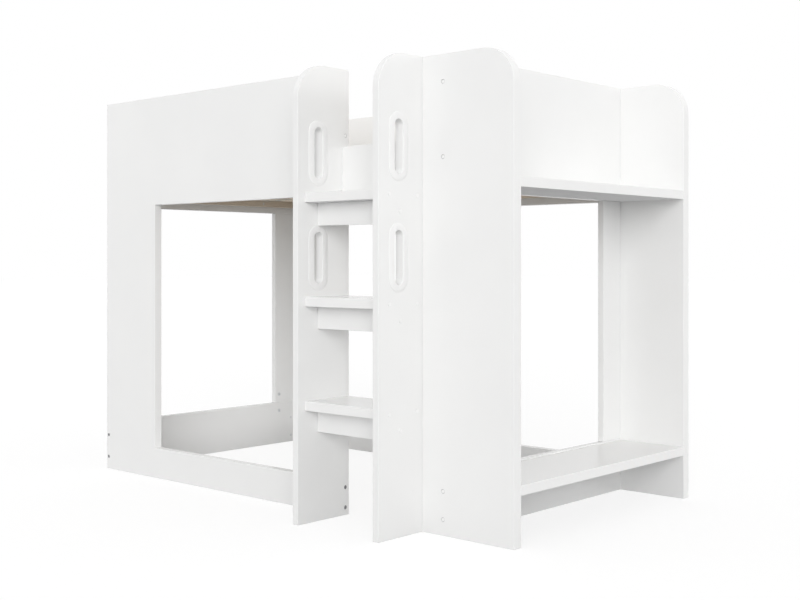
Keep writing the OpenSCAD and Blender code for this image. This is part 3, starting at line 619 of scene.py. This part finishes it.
# %% [markdown]
# The front and back panels are each cut from one large board, as no seam shows at the corners of
# the front opening. Their outline is a C that lies on its back: guard above, post at the left and
# rail below. The ladder sides and the shelf unit's sides are full-height boards with one large
# round at a top corner.

# %% Panels with an opening, and boards with a rounded top
OPENING_LEFT = -0.6505
GUARD_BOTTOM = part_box("left_end_guard")[0].z
FRONT_RAIL_TOP, BACK_RAIL_TOP = 0.105, 0.102
ROUND = 0.104
SLEEVE_INSET = 0.0171
SLOT_STEPS = 64
SLOT_ARRIS = 0.0008


def c_panel(name, rail_top):
    """Corners in the ZX plane, anticlockwise from the bottom left."""
    low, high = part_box(name)
    corners = [(low.z, low.x), (high.z, low.x), (high.z, high.x), (GUARD_BOTTOM, high.x),
               (GUARD_BOTTOM, OPENING_LEFT), (rail_top, OPENING_LEFT), (rail_top, high.x), (low.z, high.x)]
    return board(name, corners)


def shelf_side(name):
    """A tall board in the ZX plane, with its top corner at the +X end rounded."""
    low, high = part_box(name)
    corners = [(low.z, low.x), (high.z, low.x), (high.z, high.x), (low.z, high.x)]
    return board(name, corners, [CORNER, CORNER, ROUND, CORNER])


def ladder_side(name, trims):
    """A tall board in the YZ plane, with its top corner at the front rounded and two slots.

    A slot is as much smaller than its trim as the flange reaches over the board.
    """
    low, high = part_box(name)
    corners = [(low.y, low.z), (high.y, low.z), (high.y, high.z), (low.y, high.z)]
    slots = []
    for trim in trims:
        t_low, t_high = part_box(trim)
        centre = np.array(((t_low.y + t_high.y) / 2, (t_low.z + t_high.z) / 2))
        across, along = t_high.y - t_low.y, t_high.z - t_low.z
        slots.append(ring(centre, across / 2 - SLEEVE_INSET, along - across, SLOT_STEPS))
    return board(name, corners, [CORNER, CORNER, CORNER, ROUND], slots, SLOT_ARRIS)


panels = [c_panel("front_panel", FRONT_RAIL_TOP), c_panel("back_panel", BACK_RAIL_TOP)]
tall = [shelf_side(n) for n in ("shelf_side_front", "shelf_side_rear")]
for hand in ("left", "right"):
    trims = [f"hold_trim_{hand}_{level}_outer" for level in ("lower", "upper")]
    tall.append(ladder_side("ladder_side_" + hand, trims))
print("panels:", [p.name for p in panels], "tall boards:", [p.name for p in tall])

# %% [markdown]
# ## The hand-hold rings
# Each slot is lined with two plastic rings that meet inside the board. A ring has a sleeve in the
# slot and a flange on the face. The flange is crowned like a lens, thin at its rim, and it rolls
# over into the slot with a round lip. The ring is a closed profile carried round a straight line:
# at the line's ends the profile swings round by half a turn.

# %% Moulded rings
SLOT_HALF = 0.0165
FLANGE = 0.0205
SLEEVE = 0.003
LIP = 0.0015
CROWN = 0.75 * (FLANGE - LIP)
CROWN_DROP = 0.58
CROWN_POWER = 2.2
RIM_SHARE = 0.25
RING_STEPS = 96


def ring_profile(proud, sleeve_depth):
    """Distance from the slot's middle and height over the face, round the closed profile.

    Lip: a quarter circle of radius L from the sleeve to the flange's top, L (1 - cos t) out and
    L (1 - sin t) under the top. Crown: height p (1 - d (1 - w)^2.2), with w from 0 at the rim to 1
    where the flange gets level, so that it is steepest at the rim. Then back under the flange and
    down the sleeve.
    """
    t = np.linspace(0, math.pi / 2, 10)
    lip = np.column_stack((SLOT_HALF + LIP * (1 - np.cos(t)), proud - LIP + LIP * np.sin(t)))
    w = np.array([1.0, 0.8, 0.6, 0.42, 0.28, 0.17, 0.09, 0.04, 0.015])
    reach = SLOT_HALF + FLANGE - w * CROWN
    crown = np.column_stack((reach, proud * (1 - CROWN_DROP * (1 - w) ** CROWN_POWER)))
    rim, sleeve = SLOT_HALF + FLANGE, SLOT_HALF + SLEEVE
    under = np.array([(rim, RIM_SHARE * proud), (rim, 0.0), (sleeve, 0.0), (sleeve, -sleeve_depth),
                      (SLOT_HALF, -sleeve_depth)])
    return np.concatenate((lip, crown, under))


def hold_ring(name):
    """Point (i, j) is the line's end for i, plus profile distance j outwards, at profile height j."""
    low, high = (np.array(c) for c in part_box(name))
    outwards = 1 if name.endswith("_outer") == ("_right_" in name) else -1
    face = ladder_faces[(name.split("_")[2], outwards)]
    outer, inner = (high[0], low[0]) if outwards > 0 else (low[0], high[0])
    profile = ring_profile(abs(outer - face), abs(inner - face))
    turn = (np.arange(RING_STEPS) + 0.25) * 2 * math.pi / RING_STEPS
    run = (high[2] - low[2]) - (high[1] - low[1])
    middle = (low + high) / 2
    y = middle[1] + np.cos(turn)[:, None] * profile[None, :, 0]
    z = middle[2] + np.sin(turn)[:, None] * profile[None, :, 0] + np.sign(np.sin(turn))[:, None] * run / 2
    x = np.broadcast_to(face + outwards * profile[None, :, 1], y.shape)
    rows, steps = y.shape
    i, j = (g.ravel() for g in np.meshgrid(np.arange(rows), np.arange(steps), indexing="ij"))
    a, b = i * steps + j, (i + 1) % rows * steps + j
    c, d = (i + 1) % rows * steps + (j + 1) % steps, i * steps + (j + 1) % steps
    quads = np.stack((a, b, c, d), 1)
    if outwards > 0:
        quads = quads[:, ::-1]
    return piece(name + "_ring", np.stack((x, y, z), 2).reshape(-1, 3), quads.tolist(),
                 [plastic.material], [name])


ladder_faces = {}
for hand in ("left", "right"):
    low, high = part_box("ladder_side_" + hand)
    ladder_faces[(hand, -1)], ladder_faces[(hand, 1)] = low.x, high.x
hold_rings = [hold_ring(n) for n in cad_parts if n.startswith("hold_trim_")]
print("rings:", len(hold_rings), "faces each:", len(hold_rings[0].data.polygons))

# %% [markdown]
# ## The mattress base
# Battens are screwed inside the guards, and slats lie across them. They are planed pine with
# eased edges. All slats are one piece with one mesh, because they are sold as one roll, and each
# has its own start in the grain.

# %% Battens and slats
EASED_EDGE = 0.0015
EASED_CORNER = 0.0017


def plank(surface, grain, corners, low, high, along, seed):
    """Adds one plank, thin in Z, and its grain coordinates: along, across and through.

    Each coordinate is shifted by the seed: as far as it goes along, and by a few centimetres
    from the heart line in the other two.
    """
    inset, height = rounded_wall(high[2] - low[2], EASED_EDGE)
    first = surface.count
    loop = outline(corners, [EASED_CORNER] * len(corners))
    near, far = surface.strip(loop, inset, height + low[2], FACE)
    surface.fill([near], up=False, kind=FACE)
    surface.fill([far], up=True, kind=FACE)
    points = np.concatenate(surface.points)[first:] - (low + high) / 2 * (1 - np.eye(3)[along])
    shift = seed * 1.37, 0.02 + 0.011 * math.sin(seed * 2.4), 0.035 + 0.02 * math.cos(seed * 1.7)
    grain.append(points[:, [along, 1 - along, 2]] + shift)


def rectangle(low, high):
    """The plain plank's four corners."""
    return [(low[0], low[1]), (high[0], low[1]), (high[0], high[1]), (low[0], high[1])]


def wooden(name, along, seed, shape=rectangle):
    """Planks for one CAD node, with the grain attribute on their points."""
    surface, grain = Surface(), []
    for number, (low, high) in enumerate(solids_of(name)):
        plank(surface, grain, shape(low, high), low, high, along, seed + number)
    points = np.concatenate(surface.points)
    made = piece(name + "_wood", points, surface.faces, [pine], [name])
    attribute = made.data.attributes.new("grain", "FLOAT_VECTOR", "POINT")
    attribute.data.foreach_set("vector", np.concatenate(grain).astype(np.float32).ravel())
    return made


def front_notch(low, high):
    """The front batten is cut back where the shelf unit's side is thicker than the front panel."""
    side_low, side_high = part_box("shelf_side_front")
    x, y = side_low.x, side_high.y
    return [(low[0], low[1]), (x, low[1]), (x, y), (high[0], y), (high[0], high[1]), (low[0], high[1])]


def rear_notch(low, high):
    """The rear batten's cut mirrors the front one's."""
    side_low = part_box("shelf_side_rear")[0]
    x, y = side_low.x, side_low.y
    return [(low[0], low[1]), (high[0], low[1]), (high[0], y), (x, y), (x, high[1]), (low[0], high[1])]


wood = [
    wooden("batten_front", along=0, seed=31, shape=front_notch),
    wooden("batten_rear", along=0, seed=47, shape=rear_notch),
    wooden("batten_left", along=1, seed=59),
    wooden("batten_right", along=1, seed=71),
    wooden("slats", along=1, seed=3),
]
print("wooden pieces:", [w.name for w in wood])

# %% [markdown]
# ## Caps, screw heads and straps
# Small turned parts are surfaces of revolution. A cap is a low dome. A wood screw shows a flat
# head with a cross: the cross is a dip in the height of the head's surface, so one formula gives
# the whole head.

# %% Turned heads and caps
CAP_RISE = 0.0011
CAP_STEPS, HEAD_STEPS = 40, 48
ARM_HALF, ARM_REACH = 0.13, 0.52
CROSS_DEPTH = 0.45
HEAD_PROUD, HEAD_SINK = 0.00025, 0.0006
HEAD_BREAK = 0.00012


def turned(centre, axis, radii, heights):
    """Surface of revolution: point (j, i) is radii[j] from the axis and heights[j, i] over centre.

    The outermost and innermost rings are each closed with a flat face.
    """
    rows = heights.shape[1]
    t = np.linspace(0, 2 * math.pi, rows, endpoint=False)
    flat = np.stack((radii[:, None] * np.cos(t), radii[:, None] * np.sin(t), heights), 2).reshape(-1, 3)
    thin = int(np.argmax(np.abs(axis)))
    flat[:, 2] *= axis[thin]
    points = upright(flat, thin) + centre
    j, i = (g.ravel() for g in np.meshgrid(np.arange(len(radii) - 1), np.arange(rows), indexing="ij"))
    a, b = j * rows + i, j * rows + (i + 1) % rows
    faces = np.stack((a, a + rows, b + rows, b), 1).tolist()
    faces += [list(range(rows)), list(range(len(flat) - rows, len(flat)))[::-1]]
    return points, faces if axis[thin] > 0 else [f[::-1] for f in faces]


def dome(radius, height):
    """A low dome with a rolled rim: about h (1 - s^2 / 6) on top, and steeper from s = 0.9 on.

    Here s is the distance from the middle, as a share of the radius.
    """
    s = np.array([0.08, 0.3, 0.55, 0.75, 0.9, 0.96, 0.99, 1.0, 1.0])
    top = height * np.array([1.0, 0.99, 0.96, 0.92, 0.86, 0.72, 0.45, 0.1, -0.9])
    return radius * s, np.broadcast_to(top[:, None], (len(s), CAP_STEPS))


def cross_head(radius):
    """A flat head with a cross recess.

    With s as the distance from the middle over the radius R, the recess is d R (1 - s) deep where
    the distance to the nearer of the cross's two arms is under half an arm's width, and s is
    under the arms' reach.
    """
    s = np.array([0.02, 0.12, 0.22, 0.32, 0.42, 0.5, 0.56, 0.75, 0.95, 1.0, 1.0])[:, None]
    t = np.linspace(0, 2 * math.pi, HEAD_STEPS, endpoint=False)
    arm = np.minimum(np.abs(s * np.cos(t)), np.abs(s * np.sin(t))) < ARM_HALF
    dip = np.where(arm & (s < ARM_REACH), CROSS_DEPTH * radius * (1 - s), 0.0)
    height = HEAD_PROUD - dip - np.where(s == 1.0, HEAD_BREAK, 0.0)
    height[-1] = -HEAD_SINK
    return radius * s[:, 0], height


def many(name, replaced, parts, material):
    """Joins many small surfaces into one piece."""
    points, faces, count = [], [], 0
    for part_points, part_faces in parts:
        points.append(part_points)
        faces += [(np.asarray(f) + count).tolist() for f in part_faces]
        count += len(part_points)
    return piece(name, np.concatenate(points), faces, [material], replaced)


ladder_middle = (ladder_faces[("left", 1)] + ladder_faces[("right", -1)]) / 2
cap_parts = []
for low, high in solids_of("tread_screw_caps"):
    centre = (low + high) / 2
    hand, way = ("left", -1) if centre[0] < ladder_middle else ("right", 1)
    centre[0] = ladder_faces[(hand, way)]
    cap_parts.append(turned(centre, (way, 0, 0), *dome((high[1] - low[1]) / 2, CAP_RISE)))
caps = many("tread_screw_caps_domed", ["tread_screw_caps"], cap_parts, plastic.material)
print("caps:", len(cap_parts), "in", caps.name)

# %% [markdown]
# The bolt heads in the shelf unit's sides, and the high ones between the ladder sides, are out in
# the open where hands and shoulders touch them. They are covered by flat white plugs, which sit a
# little below the face and leave a thin dark ring round them. The other bolt heads stay bare.

# %% Plugs over the bolt heads
PLUG_SINK = 0.00095
PLUG_GAP = 0.0011
PLUG_CROWN = 0.00012
PLUGGED_BOARDS = (("shelf_side_front", 1, 0), ("shelf_side_rear", 1, 1),
                  ("ladder_side_left", 0, 1), ("ladder_side_right", 0, 0))
LOWEST_LADDER_PLUG = 1.05


def plugs_on(name, axis, side):
    """A plug for each bolt head that lies at one face of a board.

    The face is the one at the board's low end (side 0) or high end (side 1) along the axis.
    """
    board_low, board_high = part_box(name)
    face, way = (board_low, board_high)[side][axis], 2 * side - 1
    found = []
    for solid in solids_of("connector_bolts"):
        middle = (solid[0] + solid[1]) / 2
        width = np.delete(solid[1] - solid[0], axis).max()
        covers = all(board_low[a] < middle[a] < board_high[a] for a in range(3) if a != axis)
        open_place = axis == 1 or middle[2] > LOWEST_LADDER_PLUG
        if abs(solid[side][axis] - face) < AT_FACE and covers and open_place:
            centre, out = middle.copy(), np.zeros(3)
            centre[axis], out[axis] = face - way * PLUG_SINK, way
            found.append(turned(centre, out, *dome(width / 2 + BORE_CLEARANCE - PLUG_GAP, PLUG_CROWN)))
    return found


plug_parts = [plug for place in PLUGGED_BOARDS for plug in plugs_on(*place)]
plugs = many("bolt_head_plugs", [], plug_parts, plastic.material)
print("plugs:", len(plug_parts), "in", plugs.name)

# %% [markdown]
# The screws that hold the battens and the end slats show their heads. Each head lies in the open
# face of the wood that its screw goes through.

# %% Wood screw heads


def head_parts(node, face_of):
    """A cross head for each screw of a node, in the face that face_of names for its direction."""
    parts = []
    for low, high in solids_of(node):
        centre, axis = (low + high) / 2, np.zeros(3)
        along = int(np.argmax(high - low))
        radius = np.delete(high - low, along).max() / 2
        centre[along], axis[along] = face_of(along, centre)
        parts.append(turned(centre, axis, *cross_head(radius)))
    return parts


def batten_face(along, middle):
    """The batten's open face nearest to a screw, and the way out of it."""
    if along == 1:
        return (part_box("batten_front")[1].y, 1) if middle[1] < 0 else (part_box("batten_rear")[0].y, -1)
    return (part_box("batten_left")[1].x, 1) if middle[0] < 0 else (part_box("batten_right")[0].x, -1)


slat_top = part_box("slats")[1].z
batten_heads = head_parts("batten_screws", batten_face)
slat_heads = head_parts("slat_screws", lambda along, middle: (slat_top, 1))
heads = [many("batten_screw_heads", ["batten_screws"], batten_heads, zinc),
         many("slat_screw_heads", ["slat_screws"], slat_heads, zinc)]
print("screw heads:", len(batten_heads), "and", len(slat_heads), "in", [h.name for h in heads])

# %% [markdown]
# The straps are woven tape under the slats. Between two slats the tape hangs down by about a
# millimetre. Each strap is a grid of four long edges, whose height is the slat's underside less
# a squared sine of the place between two slats. Wire staples hold it to every slat.

# %% Straps
SAG = 0.0011
STRAP_STEPS = 800
STRAPS = ("slat_strap_front", "slat_strap_rear")
slat_boxes = sorted(solids_of("slats"), key=lambda b: b[0][0])
slat_left = np.array([b[0][0] for b in slat_boxes])
slat_right = np.array([b[1][0] for b in slat_boxes])


def tube(rings, steps):
    """Faces of a tube through rings of points, with a flat face over each end."""
    i, j = (g.ravel() for g in np.meshgrid(np.arange(rings - 1), np.arange(steps), indexing="ij"))
    a, b = i * steps + j, i * steps + (j + 1) % steps
    last = (rings - 1) * steps
    ends = [list(range(steps))[::-1], list(range(last, last + steps))]
    return np.stack((a, b, b + steps, a + steps), 1).tolist() + ends


def strap(node):
    """Point (i, j) is at x[i], at corner j of the tape's section, lowered by the sag at x[i]."""
    low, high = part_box(node)
    x = np.linspace(low.x, high.x, STRAP_STEPS)
    gap = np.clip(np.searchsorted(slat_left, x) - 1, 0, len(slat_left) - 2)
    part = np.clip((x - slat_right[gap]) / (slat_left[gap + 1] - slat_right[gap]), 0, 1)
    sag = SAG * np.sin(math.pi * part) ** 2
    points = np.empty((STRAP_STEPS, 4, 3))
    points[:, :, 0] = x[:, None]
    points[:, :, 1] = low.y, high.y, high.y, low.y
    points[:, :, 2] = np.array((low.z, low.z, high.z, high.z)) - sag[:, None]
    points = points.reshape(-1, 3)
    made = piece(node + "_tape", points, tube(STRAP_STEPS, 4), [tape.material], [node],
                 even=False)
    corner = np.empty(len(made.data.loops), np.int32)
    made.data.loops.foreach_get("vertex_index", corner)
    x, y, z = points[corner].T
    uv = made.data.uv_layers.new(name="weave")
    uv.data.foreach_set("uv", np.column_stack((x, y + z)).astype(np.float32).ravel())
    return made


straps = [strap(n) for n in STRAPS]
print("straps:", [s.name for s in straps])

# %% Staples
WIRE = 0.0006
WIRE_STEPS = 8
STAPLE_HALF = 0.005
STAPLE_INSET = 0.022
STRAP_END = 0.01


def staple(x, y, top):
    """A round wire along Y: a circle of the wire's radius carried along its crown and two bent ends."""
    inner = STAPLE_HALF - WIRE
    path = np.array([(-STAPLE_HALF, 0.0012), (-STAPLE_HALF, -0.0002), (-inner, -0.0008),
                     (inner, -0.0008), (STAPLE_HALF, -0.0002), (STAPLE_HALF, 0.0012)])
    away = np.gradient(path, axis=0)
    away /= np.linalg.norm(away, axis=1, keepdims=True)
    t = np.linspace(0, 2 * math.pi, WIRE_STEPS, endpoint=False)
    across = np.column_stack((-away[:, 1], away[:, 0]))
    points = np.empty((len(path), WIRE_STEPS, 3))
    points[:, :, 0] = x + WIRE * np.sin(t)
    points[:, :, 1:] = path[:, None] + across[:, None] * (WIRE * np.cos(t))[None, :, None] + (y, top)
    return points.reshape(-1, 3), tube(len(path), WIRE_STEPS)


staple_parts = []
for low, high in (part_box(n) for n in STRAPS):
    for left, right in zip(slat_left, slat_right):
        for x in (left + STAPLE_INSET, right - STAPLE_INSET):
            if low.x + STRAP_END < x < high.x - STRAP_END:
                staple_parts.append(staple(x, (low.y + high.y) / 2, low.z))
staples = many("strap_staples", [], staple_parts, zinc)
print("staples:", len(staple_parts), "in", staples.name)

# %% [markdown]
# ## Metal fittings
# The bolts, barrel nuts, cam locks and dowels keep their CAD shapes, which already have sockets,
# slots and crosses. They only need their finish.

# %% Finish the fittings that keep their CAD shape
METAL_NODES = ("barrel_nuts", "cam_locks", "cam_bolts", "cam_studs", "tread_screws")
for node in METAL_NODES:
    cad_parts[node].material_slots[0].material = zinc
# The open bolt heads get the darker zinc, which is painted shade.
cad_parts["connector_bolts"].material_slots[0].material = painted_shade_zinc
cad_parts["dowels"].material_slots[0].material = beech
print("metal nodes:", len(METAL_NODES) + 1)

# %% [markdown]
# ## Floor, background and light
# The photo was taken against plain white, lit softly from all round and more from the right front.
# A studio floor like that could be lit until it burns out, but then the bed would burn out too.
# So the camera sees a floor that is mostly white by itself and keeps a faint share of real shadow,
# while the light that bounces up at the bed comes from a plain grey one. The world does the same:
# it is white to the eye and has its own, lower level as a light.

# %% Which rays see the white background


def split_rays(tree, lit, seen, target):
    """Camera, glossy and transmission rays get the seen shader, and all others the lit one."""
    nodes, links = tree.nodes, tree.links
    kinds = ("LightPath", "Math", "Math", "MixShader")
    path, either, any_of, mix = (nodes.new("ShaderNode" + k) for k in kinds)
    either.operation = any_of.operation = "MAXIMUM"
    links.new(path.outputs["Is Camera Ray"], either.inputs[0])
    links.new(path.outputs["Is Glossy Ray"], either.inputs[1])
    links.new(either.outputs[0], any_of.inputs[0])
    links.new(path.outputs["Is Transmission Ray"], any_of.inputs[1])
    links.new(any_of.outputs[0], mix.inputs[0])
    links.new(lit.outputs[0], mix.inputs[1])
    links.new(seen.outputs[0], mix.inputs[2])
    links.new(mix.outputs[0], target)


print("rays are split by", split_rays.__name__)

# %% Floor
FLOOR_HALF = 40.0
FLOOR_GREY = 0.45
FLOOR_PAPER = 1.22
SHADOW_SHARE = 0.22
floor_mesh = bpy.data.meshes.new("floor")
corners = [(x * FLOOR_HALF, y * FLOOR_HALF, 0.0) for x, y in ((-1, -1), (1, -1), (1, 1), (-1, 1))]
floor_mesh.from_pydata(corners, [], [(0, 1, 2, 3)])
floor = bpy.data.objects.new("floor", floor_mesh)
scene.collection.objects.link(floor)
floor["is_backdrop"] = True

floor_finish = bpy.data.materials.new("floor_paper")
floor_finish.use_nodes = True
nodes = floor_finish.node_tree.nodes
nodes.remove(nodes["Principled BSDF"])
kinds = ("BsdfDiffuse", "BsdfDiffuse", "Emission", "MixShader")
grey, paper, glow, seen = (nodes.new("ShaderNode" + k) for k in kinds)
grey.inputs["Color"].default_value = (FLOOR_GREY, FLOOR_GREY, FLOOR_GREY, 1)
paper.inputs["Color"].default_value = (FLOOR_PAPER, FLOOR_PAPER, FLOOR_PAPER, 1)
glow.inputs["Color"].default_value = (1, 1, 1, 1)
seen.inputs[0].default_value = SHADOW_SHARE
floor_finish.node_tree.links.new(glow.outputs[0], seen.inputs[1])
floor_finish.node_tree.links.new(paper.outputs[0], seen.inputs[2])
split_rays(floor_finish.node_tree, grey, seen, nodes["Material Output"].inputs["Surface"])
floor_mesh.materials.append(floor_finish)
print("floor:", 2 * FLOOR_HALF, "metres wide")

# %% [markdown]
# The world is an even grey-white dome with a brighter band near the horizon, as the low walls of
# white paper round a studio floor give. Sun lamps with a very wide disc act as large soft boxes
# that are far away: one from the right front, and a weak one from the right rear.

# %% World and lamps
SKY = 0.675
HORIZON_EXTRA = 0.72
BAND_LOW, BAND_HIGH = 0.05, 0.40
DISC_WIDTH = 40
world = bpy.data.worlds.new("studio")
scene.world = world
world.use_nodes = True
nodes, links = world.node_tree.nodes, world.node_tree.links
lit, white = nodes["Background"], nodes.new("ShaderNodeBackground")
white.inputs["Color"].default_value = (1, 1, 1, 1)
lit.inputs["Color"].default_value = (1, 1, 1, 1)
where, axes, band = (nodes.new("ShaderNode" + k) for k in ("TexCoord", "SeparateXYZ", "MapRange"))
links.new(where.outputs["Generated"], axes.inputs[0])
links.new(axes.outputs["Z"], band.inputs["Value"])
band.inputs["From Min"].default_value = BAND_LOW
band.inputs["From Max"].default_value = BAND_HIGH
band.inputs["To Min"].default_value = SKY + HORIZON_EXTRA
band.inputs["To Max"].default_value = SKY
links.new(band.outputs[0], lit.inputs["Strength"])
split_rays(world.node_tree, lit, white, nodes["World Output"].inputs["Surface"])


def soft_sun(name, azimuth, elevation, energy):
    """A far lamp. Angles are in degrees: azimuth 0 is the bed's front and 90 its right end."""
    light = bpy.data.lights.new(name, "SUN")
    light.energy, light.angle = energy, math.radians(DISC_WIDTH)
    made = bpy.data.objects.new(name, light)
    made.rotation_euler = (math.radians(90 - elevation), 0, math.radians(azimuth))
    scene.collection.objects.link(made)


soft_sun("key_light", azimuth=41, elevation=12, energy=1.61)
soft_sun("rim_light", azimuth=120, elevation=12, energy=0.22)

# %% [markdown]
# ## Picture settings and the last check
# Colours are shown as they are, through the Standard view. The boxes of the CAD model and of the
# finished looks are written down to be compared.

# %% Finish
scene.view_settings.view_transform = "Standard"
visual_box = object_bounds()
growth = [round((v - c) * 1000, 2) for a, b in zip(visual_box, cad_box) for v, c in zip(a, b)]
print("visual box less CAD box, mm:", growth)
